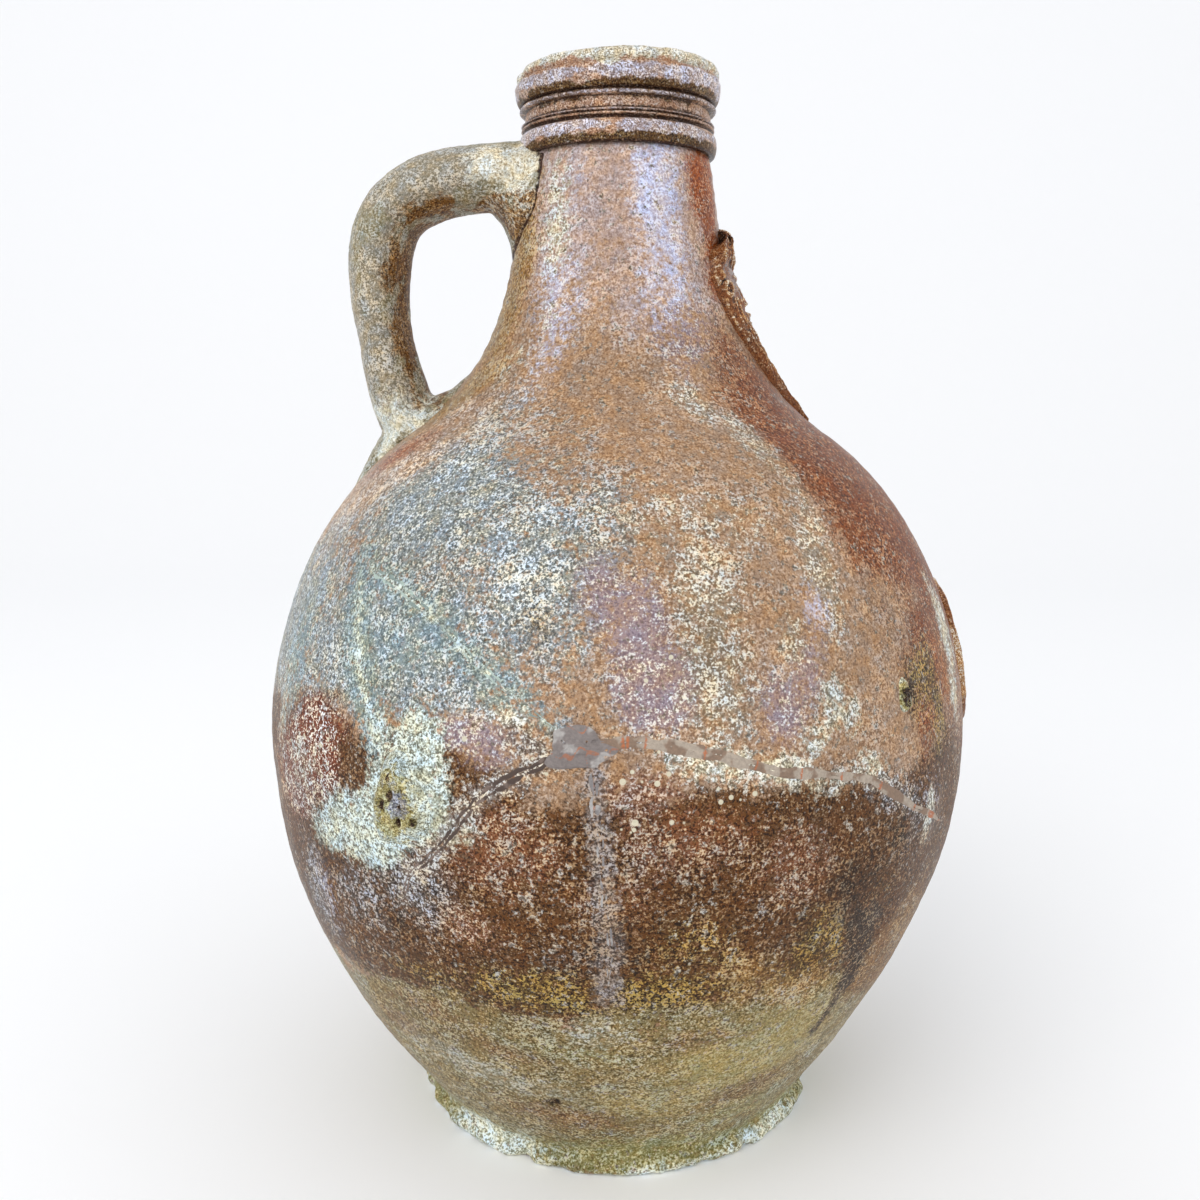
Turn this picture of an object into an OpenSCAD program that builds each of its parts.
// Salt-glazed stoneware jug with a strap handle, a bearded mask and a rosette medallion.
// Millimetres. The axis of the jug is Z and the foot stands on Z = 0.
// The mask faces +X and the handle stands out along -X.

/* [Body] */
// Height of the thrown body, from the foot to the seam under the mouth ring
body_h = 312; // [290:1:340]
// Outer radius of the belly at its widest
belly_r = 115; // [108:1:122]
// Height of the widest part of the belly, as a share of the body's height
belly_share = 0.4135; // [0.39:0.0005:0.435]
// Outer radius of the splayed foot
foot_r = 68; // [62:0.5:74]
// Height of the rounded edge of the foot
foot_h = 6; // [4:0.5:8]
// Outer radius of the waist just above the foot
waist_r = 66.5; // [60:0.5:67]
// Height of the waist
waist_z = 8.5; // [8.5:0.5:11]
// Radius where the shoulder turns from convex to hollow
turn_r = 67.7; // [64:0.5:72]
// Height where the shoulder turns from convex to hollow, as a share of the body's height
turn_share = 0.7245; // [0.705:0.0005:0.745]
// Outer radius of the neck at the seam
neck_r = 29; // [27:0.5:31]
// Thickness of the thrown wall
wall = 6.5; // [5:0.5:8]
// Thickness of the floor
floor_h = 10; // [7:0.5:14]
// Radius of the thumbed corner between the floor and the wall inside
floor_fillet = 14; // [8:1:20]

/* [Collar] */
// Height of the moulded mouth ring
collar_h = 26.5; // [24:0.5:32]
// Outer radius of the upper moulding
collar_r = 32.4; // [31.5:0.1:34]
// Outer radius of the lower cordon
cordon_r = 31.3; // [30.5:0.1:32.5]
// Outer radius of the flat between the mouldings
collar_flat_r = 30; // [29:0.1:30.4]
// Radius of the mouth
mouth_r = 20; // [17:0.5:21]
// Radius of the rounding inside the lip
lip_round = 2.5; // [1:0.5:4]
// Height of each scored ridge on the collar
ridge = 0.5; // [0.2:0.1:0.8]

/* [Handle] */
// Height of the strap's centre line at its upper root, as a share of the body's height
handle_top_share = 0.984; // [0.96:0.001:0.987]
// Distance of the strap's centre line from the axis of the jug at its furthest
handle_reach = 76.5; // [72:0.5:84]
// Height where the strap stands furthest out, as a share of the body's height
handle_mid_share = 0.878; // [0.86:0.001:0.897]
// Height where the centre line of the strap meets the shoulder, as a share of the body's height
handle_low_share = 0.718; // [0.708:0.001:0.73]
// Width of the strap
strap_w = 30; // [24:1:34]
// Thickness of the strap at its middle
strap_t = 16; // [12:0.5:18]
// Thickness of the strap at its roots
root_t = 19; // [17:0.5:21]
// Width of the strap where it is pressed on the neck
root_w = 35; // [30:1:40]
// Height at which the pressed-out tail ends on the shoulder, as a share of the body's height
tail_end_share = 0.6635; // [0.648:0.0005:0.679]
// Thickness of the tail under the strap
tail_t = 8; // [5:0.5:10]
// Height at which the clay smeared down the neck ends, as a share of the body's height
smear_end_share = 0.894; // [0.878:0.001:0.916]
// Thickness of the clay smeared on the neck
smear_t = 3; // [2:0.25:4]
// Height of the clay worked into the angle over the shoulder, as a share of the body's height
lute_top_share = 0.779; // [0.77:0.001:0.791]
// Gap between the jug and a piece pressed or fused on it
lute_gap = 0.2; // [0.1:0.05:0.3]

/* [Mask] */
// Height of the hair over the mask's centre, as a share of the body's height
mask_top_share = 0.9325; // [0.91:0.0005:0.949]
// Height of the tip of the beard, as a share of the body's height
mask_tip_share = 0.734; // [0.712:0.001:0.756]
// Width of the mask over the cheeks
mask_w = 46; // [38:1:52]
// Thickness of the pressed clay at the mask's edge
mask_edge_t = 1.2; // [0.8:0.1:2]
// Height of the face over its ground
mask_relief = 4; // [2.5:0.25:5]
// Height of the locks of hair and beard over their ground
lock_relief = 1; // [0.5:0.1:1.5]

/* [Medallion] */
// Height of the medallion's centre, as a share of the body's height
medal_share = 0.487; // [0.468:0.001:0.512]
// Width of the medallion
medal_w = 46; // [38:1:54]
// Height of the medallion
medal_h = 52; // [44:1:58]
// Thickness of the medallion's ground
medal_t = 1.2; // [0.8:0.1:2]
// Height of the border and the rosette over the ground
medal_relief = 1.2; // [0.6:0.1:1.8]
// Number of petals of the rosette
petals = 8; // [5:1:10]

/* [Repairs] */
// Depth of the filling in the cracks
fill_depth = 1.2; // [0.8:0.1:2]
// Width of the filling in the cracks
fill_w = 3; // [2:0.25:4]
// Gap left round the filling as it dried
fill_gap = 0.05; // [0.02:0.01:0.1]
// Height of the point where the jug was struck, as a share of the body's height
blow_share = 0.484; // [0.475:0.001:0.493]
// Radius of the patch over that point
patch_r = 6.5; // [5:0.5:8]

/* [Kiln scars] */
// Height of the large kiln scar, as a share of the body's height
scar_share = 0.4265; // [0.41:0.0005:0.442]
// Radius of the large lump
scar_r = 9; // [7:0.5:11]
// Height by which the large lump stands out of the wall
scar_out = 2.6; // [1.5:0.1:3.5]
// Height of the small kiln scar, as a share of the body's height
chip_share = 0.5; // [0.481:0.001:0.512]
// Radius of the small lump
chip_r = 4.5; // [3:0.5:6]
// Height by which the small lump stands out of the wall
chip_out = 1.3; // [0.8:0.1:2]

/* [Hidden] */

// The side with the cracks faces -Y, and their turns are counted from there towards the mask.
front_turn = -90;
// The handle faces -X
handle_turn = 180;
// Degrees of turn in a radian
radian = 180 / PI;
// Overrun that lets a cut pass clean through what it cuts
over = 1;
// Steps along each span of the wall, and facets round the jug
span_steps = 14;
round_steps = 320;

glaze_brown = "#7a5236";
glaze_grey = "#8a8676";
glaze_rust = "#6e4128";
filler_pale = "#a9b2a3";
filler_rust = "#8d6650";
scar_ochre = "#a08a4c";

// Heights over the foot
belly_z = body_h * belly_share;
turn_z = body_h * turn_share;
handle_top_z = body_h * handle_top_share;
handle_mid_z = body_h * handle_mid_share;
handle_low_z = body_h * handle_low_share;
tail_end_z = body_h * tail_end_share;
smear_end_z = body_h * smear_end_share;
lute_top_z = body_h * lute_top_share;
mask_top_z = body_h * mask_top_share;
mask_tip_z = body_h * mask_tip_share;
medal_z = body_h * medal_share;
blow_z = body_h * blow_share;
scar_z = body_h * scar_share;
chip_z = body_h * chip_share;

// Wall of the body

// Angles of the wall from upright: above the waist, at the turn of the shoulder and at the seam
flank_lean = 35;
turn_lean = 55.5;
seam_lean = 14.5;
// Handles of the wall's three spans, as shares of the rise of each span
flank_share = 0.375;
belly_below_share = 0.34;
belly_above_share = 0.265;
shoulder_share = 0.437;
neck_low_share = 0.53;
neck_high_share = 0.257;

// A point on a cubic curve
function bezier(a, b, c, d, t) =
    pow(1 - t, 3) * a + 3 * pow(1 - t, 2) * t * b + 3 * (1 - t) * t * t * c + pow(t, 3) * d;
function span(a, b, c, d) = [for (i = [0 : span_steps]) bezier(a, b, c, d, i / span_steps)];
// A smooth step from 0 at a to 1 at b
function smooth(a, b, x) =
    let (t = min(max((x - a) / (b - a), 0), 1)) t * t * (3 - 2 * t);
// A round bump of height 1 over x = 0 that ends at x = 1
function bump(x) = abs(x) >= 1 ? 0 : pow(1 - x * x, 2);

waist_point = [waist_r, waist_z];
belly_point = [belly_r, belly_z];
turn_point = [turn_r, turn_z];
seam_point = [neck_r, body_h];
flank_rise = belly_z - waist_z;
shoulder_rise = turn_z - belly_z;
neck_rise = body_h - turn_z;

flank = span(
    waist_point,
    waist_point + flank_rise * flank_share * [sin(flank_lean), cos(flank_lean)],
    belly_point - [0, flank_rise * belly_below_share],
    belly_point
);
shoulder = span(
    belly_point,
    belly_point + [0, shoulder_rise * belly_above_share],
    turn_point + shoulder_rise * shoulder_share * [sin(turn_lean), -cos(turn_lean)],
    turn_point
);
neck = span(
    turn_point,
    turn_point + neck_rise * neck_low_share * [-sin(turn_lean), cos(turn_lean)],
    seam_point + neck_rise * neck_high_share * [sin(seam_lean), -cos(seam_lean)],
    seam_point
);
// The edge of the foot is a half round with a flat underside
foot_round = foot_h / 2;
foot_arc = [
    for (turn = [-90 : 15 : 75])
    [foot_r - foot_round, foot_round] + foot_round * [cos(turn), sin(turn)]
];
wall_points = concat(
    flank,
    [for (i = [1 : span_steps]) shoulder[i]],
    [for (i = [1 : span_steps]) neck[i]]
);
wall_line = concat(foot_arc, wall_points);
wall_table = [for (p = concat([[foot_r, 0]], wall_points)) [p[1], p[0]]];

// Outer radius of the body at a height, and the lean of its wall from upright there
lean_reach = foot_h / 3;
function wall_r(z) = lookup(z, wall_table);
function wall_lean(z) = atan2(wall_r(z - lean_reach) - wall_r(z + lean_reach), 2 * lean_reach);
// A point at a turn about the axis and a height on the wall, moved out along the wall's normal
function on_wall(turn, z, out) =
    let (lean = wall_lean(z), r = wall_r(z) + out * cos(lean))
    [r * cos(turn), r * sin(turn), z + out * sin(lean)];

// The wall grows thicker up the neck until it meets the mouth's radius
function wall_t(z) =
    wall + (neck_r - mouth_r - wall) * smooth(turn_z, body_h, z);
function inner_point(p) =
    let (lean = wall_lean(p[1]), t = wall_t(p[1]))
    [p[0] - t * cos(lean), p[1] - t * sin(lean)];
inner_low_z = floor_h + floor_fillet;
inner_line = [
    for (p = wall_points)
    let (q = inner_point(p))
    if (q[1] > inner_low_z && p[1] < body_h) q
];
inner_corner = [inner_line[0][0] - floor_fillet, inner_low_z];
fillet_arc = [
    for (turn = [0 : -15 : -90])
    inner_corner + floor_fillet * [cos(turn), sin(turn)]
];
inner_wall = concat(
    [[mouth_r, body_h]],
    [for (i = [len(inner_line) - 1 : -1 : 0]) inner_line[i]],
    [for (i = [1 : len(fillet_arc) - 1]) fillet_arc[i]]
);

// The outside of the body as one solid, with a gap round it
module wall_solid(gap) {
    rotate_extrude($fn = round_steps)
        polygon(concat([[0, 0]], [for (p = wall_line) p + [gap, 0]], [[0, body_h]]));
}

// The outside of the jug as one solid, which cuts the seats of the clay pressed on it
module jug_solid() {
    rotate_extrude($fn = round_steps)
        polygon(concat([[0, 0]], wall_line, ring_line, [[0, body_h + collar_h]]));
}

// Solids made from grids of points

function mean_point(ring) = [for (p = ring) 1 / len(ring)] * ring;

// A closed solid from rings of points, each ring in the same sense, with a fan at either end
module loft(rings) {
    count = len(rings[0]);
    last = len(rings) - 1;
    low_centre = count * len(rings);
    high_centre = low_centre + 1;
    polyhedron(
        points = concat([for (ring = rings) each ring], [mean_point(rings[0]), mean_point(rings[last])]),
        faces = concat(
            [for (i = [0 : last - 1], j = [0 : count - 1])
                [i * count + j, i * count + (j + 1) % count, (i + 1) * count + (j + 1) % count]],
            [for (i = [0 : last - 1], j = [0 : count - 1])
                [i * count + j, (i + 1) * count + (j + 1) % count, (i + 1) * count + j]],
            [for (j = [0 : count - 1]) [low_centre, (j + 1) % count, j]],
            [for (j = [0 : count - 1]) [high_centre, last * count + j, last * count + (j + 1) % count]]
        ),
        convexity = 6
    );
}

// A closed solid between two grids of points whose edges share their places: the top and the base
module relief(top, base) {
    rows = len(top);
    cols = len(top[0]);
    deep = rows * cols;
    end_row = (rows - 1) * cols;
    polyhedron(
        points = concat([for (row = top) each row], [for (row = base) each row]),
        faces = concat(
            [for (i = [0 : rows - 2], j = [0 : cols - 2], a = i * cols + j) [a, a + cols, a + 1]],
            [for (i = [0 : rows - 2], j = [0 : cols - 2], a = i * cols + j) [a + 1, a + cols, a + cols + 1]],
            [for (i = [0 : rows - 2], j = [0 : cols - 2], a = deep + i * cols + j) [a, a + 1, a + cols]],
            [for (i = [0 : rows - 2], j = [0 : cols - 2], a = deep + i * cols + j)
                [a + 1, a + cols + 1, a + cols]],
            [for (a = [0 : cols - 2]) [a, a + 1, deep + a]],
            [for (a = [0 : cols - 2]) [a + 1, deep + a + 1, deep + a]],
            [for (a = [end_row : end_row + cols - 2]) [a + 1, a, deep + a]],
            [for (a = [end_row : end_row + cols - 2]) [a + 1, deep + a, deep + a + 1]],
            [for (i = [0 : rows - 2], a = i * cols) [a + cols, a, deep + a]],
            [for (i = [0 : rows - 2], a = i * cols) [a + cols, deep + a, deep + a + cols]],
            [for (i = [0 : rows - 2], a = i * cols + cols - 1) [a, a + cols, deep + a]],
            [for (i = [0 : rows - 2], a = i * cols + cols - 1) [a + cols, deep + a + cols, deep + a]]
        ),
        convexity = 8
    );
}

// Body

module body() {
    color(glaze_brown)
        difference() {
            rotate_extrude($fn = round_steps)
                polygon(concat([[0, 0]], wall_line, inner_wall, [[0, floor_h]]));
            all_fill_strips();
        }
}

// Collar

// Heights of the ring's lines, as shares of its height
cordon_share = 0.25;
low_groove_share = 0.28;
low_ridge_share = 0.305;
mid_groove_share = 0.33;
high_ridge_share = 0.355;
flat_share = 0.38;
bead_low_share = 0.505;
bead_share = 0.53;
bead_high_share = 0.56;
high_groove_share = 0.58;
moulding_share = 0.78;
band_share = 0.86;

// The lower cordon is a half round that overhangs the seam
cordon_arc = [
    for (turn = [-70 : 20 : 90])
    [
        collar_flat_r + (cordon_r - collar_flat_r) * cos(turn),
        body_h + collar_h * cordon_share * (1 + sin(turn)) / 2
    ]
];
// The upper moulding swells from its groove to its widest line and draws in to the pale band
moulding_arc = [
    for (turn = [-90 : 18 : 54])
    [
        collar_flat_r + (collar_r - collar_flat_r) * cos(turn),
        body_h + collar_h * (moulding_share
            + (turn < 0 ? moulding_share - high_groove_share : band_share - moulding_share) * sin(turn))
    ]
];
lip_arc = [
    for (turn = [0 : 15 : 90])
    [
        collar_flat_r - ridge + (collar_r - collar_flat_r) * cos(turn),
        body_h + collar_h * (band_share + (1 - band_share) * sin(turn))
    ]
];
mouth_arc = [
    for (turn = [90 : 15 : 180])
    [mouth_r + lip_round, body_h + collar_h - lip_round] + lip_round * [cos(turn), sin(turn)]
];
ring_line = concat(
    cordon_arc,
    [
        [collar_flat_r - ridge, body_h + collar_h * low_groove_share],
        [collar_flat_r, body_h + collar_h * low_ridge_share],
        [collar_flat_r - ridge, body_h + collar_h * mid_groove_share],
        [collar_flat_r, body_h + collar_h * high_ridge_share],
        [collar_flat_r - ridge, body_h + collar_h * flat_share],
        [collar_flat_r - ridge, body_h + collar_h * bead_low_share],
        [collar_flat_r + ridge, body_h + collar_h * bead_share],
        [collar_flat_r + ridge, body_h + collar_h * bead_high_share]
    ],
    moulding_arc,
    lip_arc
);

module collar() {
    color(glaze_grey)
        rotate_extrude($fn = round_steps)
            polygon(concat([[mouth_r, body_h], [neck_r, body_h]], ring_line, mouth_arc));
}

// Handle

// The centre line runs from inside the neck over the crown to inside the shoulder
handle_steps = 10;
strap_sides = 20;
root_in_share = 0.75;
crown_share = 0.78;
crown_drop_share = 0.84;
back_drop_share = 0.42;
back_rise_share = 0.36;
foot_lean = 22;
handle_root = [neck_r * root_in_share, handle_top_z];
handle_back = [handle_reach, handle_mid_z];
handle_low = [wall_r(handle_low_z) - strap_t / 4, handle_low_z];
crown_run = handle_reach - handle_root[0];
crown_fall = handle_top_z - handle_mid_z;
back_fall = handle_mid_z - handle_low_z;
crown_line = [for (i = [0 : handle_steps]) bezier(
    handle_root,
    handle_root + [crown_run * crown_share, 0],
    handle_back + [0, crown_fall * crown_drop_share],
    handle_back,
    i / handle_steps
)];
back_line = [for (i = [1 : handle_steps]) bezier(
    handle_back,
    handle_back - [0, back_fall * back_drop_share],
    handle_low + back_fall * back_rise_share * [sin(foot_lean), cos(foot_lean)],
    handle_low,
    i / handle_steps
)];
strap_line = concat(crown_line, back_line);
strap_last = len(strap_line) - 1;
// The strap reaches its root's thickness this many steps before its lower end
foot_flare_steps = 3;

// A ring of the strap's rounded section, thicker and wider towards its roots
function strap_ring(i) =
    let (
        before = strap_line[max(i - 1, 0)],
        after = strap_line[min(i + 1, strap_last)],
        along = (after - before) / norm(after - before),
        across = [-along[1], along[0]],
        near_neck = 1 - smooth(0, handle_steps, i),
        near_foot = smooth(handle_steps, strap_last - foot_flare_steps, i),
        half_t = (strap_t + (root_t - strap_t) * max(near_neck, near_foot)) / 2,
        half_w = (strap_w + (root_w - strap_w) * near_neck) / 2
    )
    [for (j = [0 : strap_sides - 1])
        let (
            turn = j * 360 / strap_sides,
            // A power of the cosine draws the section out to rounded edges
            rise = half_t * sin(turn) * (1 - pow(cos(turn), 4) / 4),
            side = half_w * cos(turn),
            p = strap_line[i] + across * rise
        )
        [-p[0], side, p[1]]];

// A ring of clay pressed on the wall behind the handle: a low arch across it, sunk a little into it.
// A peak of 1 gives the arch full shoulders, and 2 gives it sloping ones.
// Its edges lie a little under the wall's surface, so that it meets the wall at a clean line.
press_sides = 20;
press_dip = 0.4;
function pressed_ring(z, half, height, sink, peak) = [
    for (j = [0 : press_sides - 1])
    let (
        turn = -j * 360 / press_sides,
        around = half * cos(turn) / wall_r(z) * radian
    )
    let (out = sin(turn) > 0 ? height * pow(sin(turn), peak) : sink * sin(turn))
    on_wall(handle_turn + around, z, out - press_dip)
];

// The tail is a tongue of clay that thins out down the shoulder
tail_steps = 8;
tail_top_z = handle_low_z + root_t / 4;
tail_thin_share = 0.1;
tail_width_share = 0.5;
function tail_height(share) = tail_t * (1 - smooth(0, 1, share) * (1 - tail_thin_share));

module strap() {
    loft([for (i = [0 : strap_last]) strap_ring(i)]);
}

module tail() {
    loft([
        for (i = [0 : tail_steps])
        let (share = i / tail_steps)
        pressed_ring(
            tail_top_z + (tail_end_z - tail_top_z) * share,
            strap_w / 2 * (1 - share * share * tail_width_share),
            tail_height(share),
            tail_t / 4,
            1
        )
    ]);
}

module handle() {
    color(glaze_grey)
        difference() {
            union() {
                strap();
                tail();
            }
            jug_solid();
        }
}

// Clay worked round the upper root: a smear on the neck that thickens into a fillet under the strap
smear_steps = 12;
smear_margin = strap_t / 4;
smear_reach = strap_t / 2;
strap_under_z = handle_top_z - root_t / 2;
smear_top_z = body_h - smear_t / 3;
smear_thin_share = 0.1;
smear_narrow_share = 0.45;
function smear_height(z) =
    let (
        t = min((z - smear_end_z) / (strap_under_z - smear_end_z), 1),
        fall = 1 - smooth(strap_under_z, smear_top_z, z) * (1 - smear_thin_share)
    )
    (smear_t * (t + smear_thin_share) + smear_reach * pow(t, 4)) * fall;
function smear_half(z) =
    (root_w / 2 + smear_margin)
    * (smear_narrow_share + (1 - smear_narrow_share) * smooth(smear_end_z, strap_under_z, z));

module handle_upper_lute() {
    color(glaze_grey)
        difference() {
            loft([
                for (i = [smear_steps : -1 : 0])
                let (z = smear_end_z + (smear_top_z - smear_end_z) * i / smear_steps)
                pressed_ring(z, smear_half(z), smear_height(z), smear_t, 2)
            ]);
            strap();
            wall_solid(0);
        }
}

// Clay worked into the angle between the strap and the shoulder
angle_steps = 8;
angle_low_z = handle_low_z + strap_t / 4;
angle_top_z = lute_top_z + strap_t / 4;
function angle_height(share) = root_t / 2 * pow(share, 1.6) + lute_gap;

module handle_lower_lute() {
    color(glaze_grey)
        difference() {
            loft([
                for (i = [0 : angle_steps])
                let (share = i / angle_steps)
                pressed_ring(
                    angle_top_z + (angle_low_z - angle_top_z) * share,
                    strap_w / 2 * (0.5 + 0.55 * smooth(0, 1, share)),
                    angle_height(share),
                    smear_t,
                    2
                )
            ]);
            strap();
            tail();
            wall_solid(0);
        }
}

// Mask

// The mask is pressed in a mould and wrapped on the neck, so it is drawn across the turn and up the wall.
// Its rows run from the tip of the beard, 0, to the top of the hair, 1.
mask_cols = 34;
mask_rows = 40;
mask_outline_shares = [
    [0, 0.05], [0.1, 0.2], [0.22, 0.4], [0.36, 0.66], [0.5, 0.86], [0.62, 0.97], [0.74, 1],
    [0.84, 0.95], [0.92, 0.82], [0.97, 0.64], [1, 0.4]
];
tuft_share = 0.028;
tuft_count = 5;
// Places of the features, as shares of the mask's height and of its half width
hairline_share = 0.83;
brow_share = 0.735;
eye_share = 0.69;
nose_share = 0.585;
tash_share = 0.545;
mouth_share = 0.51;
chin_share = 0.44;
eye_side_share = 0.27;
face_side_share = 0.66;
lock_count = 6;

function oval(x, y, cx, cy, rx, ry) = bump(norm([(x - cx) / rx, (y - cy) / ry]));
// Height of the face over the ground, as a share of the mask's relief
function face_height(x, y) =
    let (side = abs(x))
    0.5 * oval(x, y, 0, 0.65, face_side_share, 0.24)
    + 0.5 * bump(x / 0.13) * smooth(nose_share - 0.02, nose_share, y)
        * (1 - 0.7 * smooth(nose_share, brow_share, y))
    + 0.12 * oval(side, y, 0.1, nose_share + 0.01, 0.09, 0.02)
    + 0.22 * oval(side, y, eye_side_share, brow_share, 0.26, 0.025)
    - 0.3 * oval(side, y, eye_side_share, eye_share, 0.19, 0.035)
    + 0.32 * oval(side, y, eye_side_share, eye_share, 0.12, 0.02)
    + 0.2 * oval(side, y, 0.36, 0.62, 0.22, 0.06)
    + 0.34 * oval(side, y, 0.2, tash_share - 0.02 * side, 0.34, 0.022)
    + 0.16 * oval(x, y, 0, mouth_share + 0.009, 0.2, 0.012)
    + 0.16 * oval(x, y, 0, mouth_share - 0.013, 0.16, 0.012);
// Height of the beard and hair, without their locks
function ground_height(x, y) =
    0.34 * smooth(0, 0.3, y)
        * (1 - smooth(chin_share + 0.06, mouth_share + 0.1, y) * bump(x / face_side_share))
    + 0.1 * smooth(hairline_share - 0.03, hairline_share + 0.03, y);
// The locks run with the columns, which close on the tip, and sway as they go
function lock_height(u, x, y) =
    let (
        beard = 1 - smooth(chin_share - 0.02, mouth_share, y) * bump(x / (face_side_share + 0.1)),
        hair = smooth(hairline_share - 0.03, hairline_share + 0.03, y),
        side = smooth(0.7, 0.85, abs(x)),
        sway = 0.09 * sin(y * 900 + 120 * abs(u))
    )
    max(y > brow_share ? hair : beard, side)
    * (0.5 + 0.5 * cos((abs(u) + sway) * 180 * lock_count));

function mask_point(u, v, raised) =
    let (
        x = u * lookup(v, mask_outline_shares),
        tuft = tuft_share * pow(v, 5) * (cos(u * 180 * tuft_count) - 1 - u * u),
        z = mask_tip_z + (mask_top_z - mask_tip_z) * (v + tuft),
        edge = smooth(1, 0.8, abs(u)) * smooth(0, 0.06, v) * smooth(1, 0.95, v),
        height = mask_edge_t
            + edge * mask_relief * (face_height(x, v) + ground_height(x, v))
            + edge * lock_relief * lock_height(u, x, v),
        around = x * mask_w / 2 / wall_r(z) * radian
    )
    on_wall(around, z, lute_gap + (raised ? height : 0));

module face_mask() {
    color(glaze_rust)
        relief(
            [for (i = [0 : mask_rows]) [for (j = [0 : mask_cols])
                mask_point(2 * j / mask_cols - 1, i / mask_rows, true)]],
            [for (i = [0 : mask_rows]) [for (j = [0 : mask_cols])
                mask_point(2 * j / mask_cols - 1, i / mask_rows, false)]]
        );
}

// Medallion

// An oval sprig with a rope of beads inside a plain border, round a rosette with a boss
medal_sides = 64;
medal_rings = 14;
border_share = 0.9;
bead_ring_share = 0.74;
petal_mid_share = 0.38;
petal_half_share = 0.26;
boss_share = 0.15;
bead_count = 16;
function medal_height(s, turn) =
    medal_t + medal_relief * (
        bump((s - border_share) / 0.09)
        + 0.7 * bump((s - bead_ring_share) / 0.08) * (0.55 + 0.45 * cos(turn * bead_count))
        + bump((s - petal_mid_share) / petal_half_share) * pow(0.5 + 0.5 * cos(turn * petals), 0.6)
        + 1.2 * bump(s / boss_share)
    );
function medal_ring(s, raised) = [
    for (j = [0 : medal_sides - 1])
    let (
        turn = -j * 360 / medal_sides,
        around = medal_w / 2 * s * cos(turn) / wall_r(medal_z) * radian,
        z = medal_z + medal_h / 2 * s * sin(turn)
    )
    on_wall(around, z, lute_gap + (raised ? medal_height(s, turn) : 0))
];

module medallion() {
    color(glaze_rust)
        loft(concat(
            [for (i = [1 : 3]) medal_ring(i / 3, false)],
            [for (i = [medal_rings : -1 : 1]) medal_ring(i / medal_rings, true)]
        ));
}

// Repairs

// Each crack's line: turns in degrees from the front towards the mask, and heights as shares of the body's
crack_right_shares = [
    [-3, 0.49], [3, 0.489], [12, 0.478], [20, 0.46], [27.5, 0.452], [36, 0.437], [45.5, 0.4], [57, 0.364]
];
crack_left_shares = [[-8, 0.48], [-16, 0.45], [-19, 0.436], [-24, 0.394], [-30, 0.357], [-31.5, 0.335]];
crack_down_shares = [[-4, 0.475], [-3, 0.42], [-2.5, 0.376], [-1.5, 0.304], [-2.5, 0.256]];
crack_upright_shares = [[-48, 0.615], [-45, 0.583], [-41.5, 0.542], [-37.5, 0.504], [-35, 0.475]];
crack_diagonal_shares = [[-45, 0.611], [-36.5, 0.599], [-27, 0.574], [-20, 0.545], [-15, 0.524], [-8, 0.495]];
blow_turn = -5.5;
fill_steps = 4;
fill_last_share = 0.35;
// A crack wanders by this many degrees either way, and its width by this share
crack_sway = 0.35;
fill_sway_share = 0.2;

function crack_place(line, t) =
    let (i = min(floor(t), len(line) - 2), f = t - i)
    [
        line[i][0] * (1 - f) + line[i + 1][0] * f + crack_sway * sin(t * 200),
        body_h * (line[i][1] * (1 - f) + line[i + 1][1] * f)
    ];
// The filling's ring: its two edges over the wall and below it, square to the crack, less a gap
function fill_ring(line, t, gap) =
    let (
        t_last = len(line) - 1,
        before = crack_place(line, max(t - 0.3, 0)),
        here = crack_place(line, t),
        after = crack_place(line, min(t + 0.3, t_last)),
        r = wall_r(here[1]),
        run = (after[0] - before[0]) / radian * r,
        rise = after[1] - before[1],
        taper = 1 - (1 - fill_last_share) * smooth(t_last - 1.5, t_last, t),
        half = fill_w / 2 * taper * (1 + fill_sway_share * sin(t * 330)) - gap,
        side = [rise, -run] * half / norm([run, rise]),
        turn = side[0] / r * radian
    )
    [
        on_wall(front_turn + here[0] - turn, here[1] - side[1], gap - fill_depth),
        on_wall(front_turn + here[0] + turn, here[1] + side[1], gap - fill_depth),
        on_wall(front_turn + here[0] + turn, here[1] + side[1], over),
        on_wall(front_turn + here[0] - turn, here[1] - side[1], over)
    ];

module fill_strip(line, gap) {
    steps = fill_steps * (len(line) - 1);
    loft([for (i = [0 : steps]) fill_ring(line, i / fill_steps, gap)]);
}

// The patch is a round-cornered star over the point of the blow
patch_sides = 20;
function patch_ring(out, gap) = [
    for (j = [0 : patch_sides - 1])
    let (
        turn = -j * 360 / patch_sides,
        reach = patch_r * (1 + 0.16 * cos(turn * 3 + 40) + 0.1 * cos(turn * 5)) - gap,
        around = reach * cos(turn) / wall_r(blow_z) * radian
    )
    on_wall(front_turn + blow_turn + around, blow_z + reach * sin(turn), out)
];
module patch_block(gap) {
    loft([patch_ring(gap - fill_depth, gap), patch_ring(over, gap)]);
}

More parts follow.
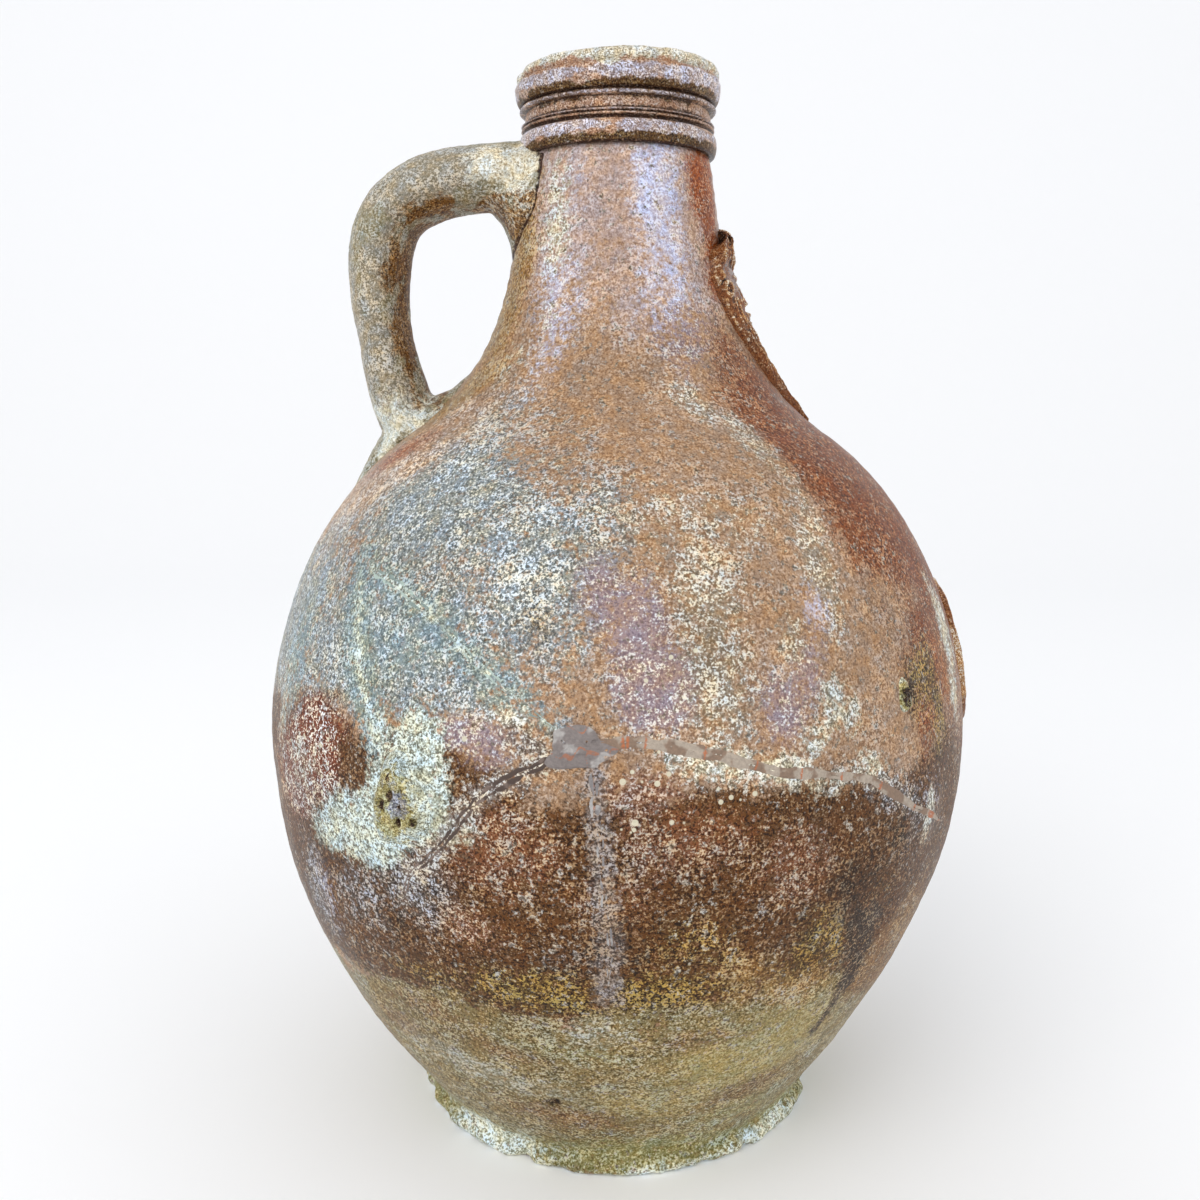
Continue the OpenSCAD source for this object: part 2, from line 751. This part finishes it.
module all_fill_strips() {
    fill_strip(crack_right_shares, 0);
    fill_strip(crack_left_shares, 0);
    fill_strip(crack_down_shares, 0);
    fill_strip(crack_upright_shares, 0);
    fill_strip(crack_diagonal_shares, 0);
    patch_block(0);
}

module crack_fill(line) {
    difference() {
        intersection() {
            fill_strip(line, fill_gap);
            wall_solid(0);
        }
        patch_block(0);
    }
}

module crack_fill_right() {
    color(filler_rust)
        crack_fill(crack_right_shares);
}

module crack_fill_left() {
    color(filler_rust)
        crack_fill(crack_left_shares);
}

module crack_fill_down() {
    color(filler_rust)
        crack_fill(crack_down_shares);
}

module crack_fill_upright() {
    color(filler_pale)
        crack_fill(crack_upright_shares);
}

module crack_fill_diagonal() {
    color(filler_pale)
        crack_fill(crack_diagonal_shares);
}

module crack_fill_impact() {
    color(filler_rust)
        intersection() {
            patch_block(fill_gap);
            wall_solid(0);
        }
}

// Kiln scars

// Lumps of fused kiln clay: each is a low cap standing on the wall
scar_turn = -30.5;
chip_turn = 45;
// A smaller lump runs round and down from the large one
run_turn = 3;
run_drop_share = 0.7;
run_size_share = 0.6;
lump_steps = 96;
module cap(turn, z, radius, out) {
    dome_r = (radius * radius + out * out) / (2 * out);
    translate(on_wall(front_turn + turn, z, out - dome_r))
        sphere(dome_r, $fn = lump_steps);
}

module kiln_scar() {
    color(scar_ochre)
        difference() {
            union() {
                cap(scar_turn, scar_z, scar_r, scar_out);
                cap(
                    scar_turn - run_turn,
                    scar_z - scar_r * run_drop_share,
                    scar_r * run_size_share,
                    scar_out * run_drop_share
                );
            }
            wall_solid(lute_gap);
        }
}

module kiln_scar_small() {
    color(scar_ochre)
        difference() {
            cap(chip_turn, chip_z, chip_r, chip_out);
            wall_solid(lute_gap);
        }
}

body();
collar();
handle();
handle_upper_lute();
handle_lower_lute();
face_mask();
medallion();
crack_fill_right();
crack_fill_left();
crack_fill_down();
crack_fill_upright();
crack_fill_diagonal();
crack_fill_impact();
kiln_scar();
kiln_scar_small();
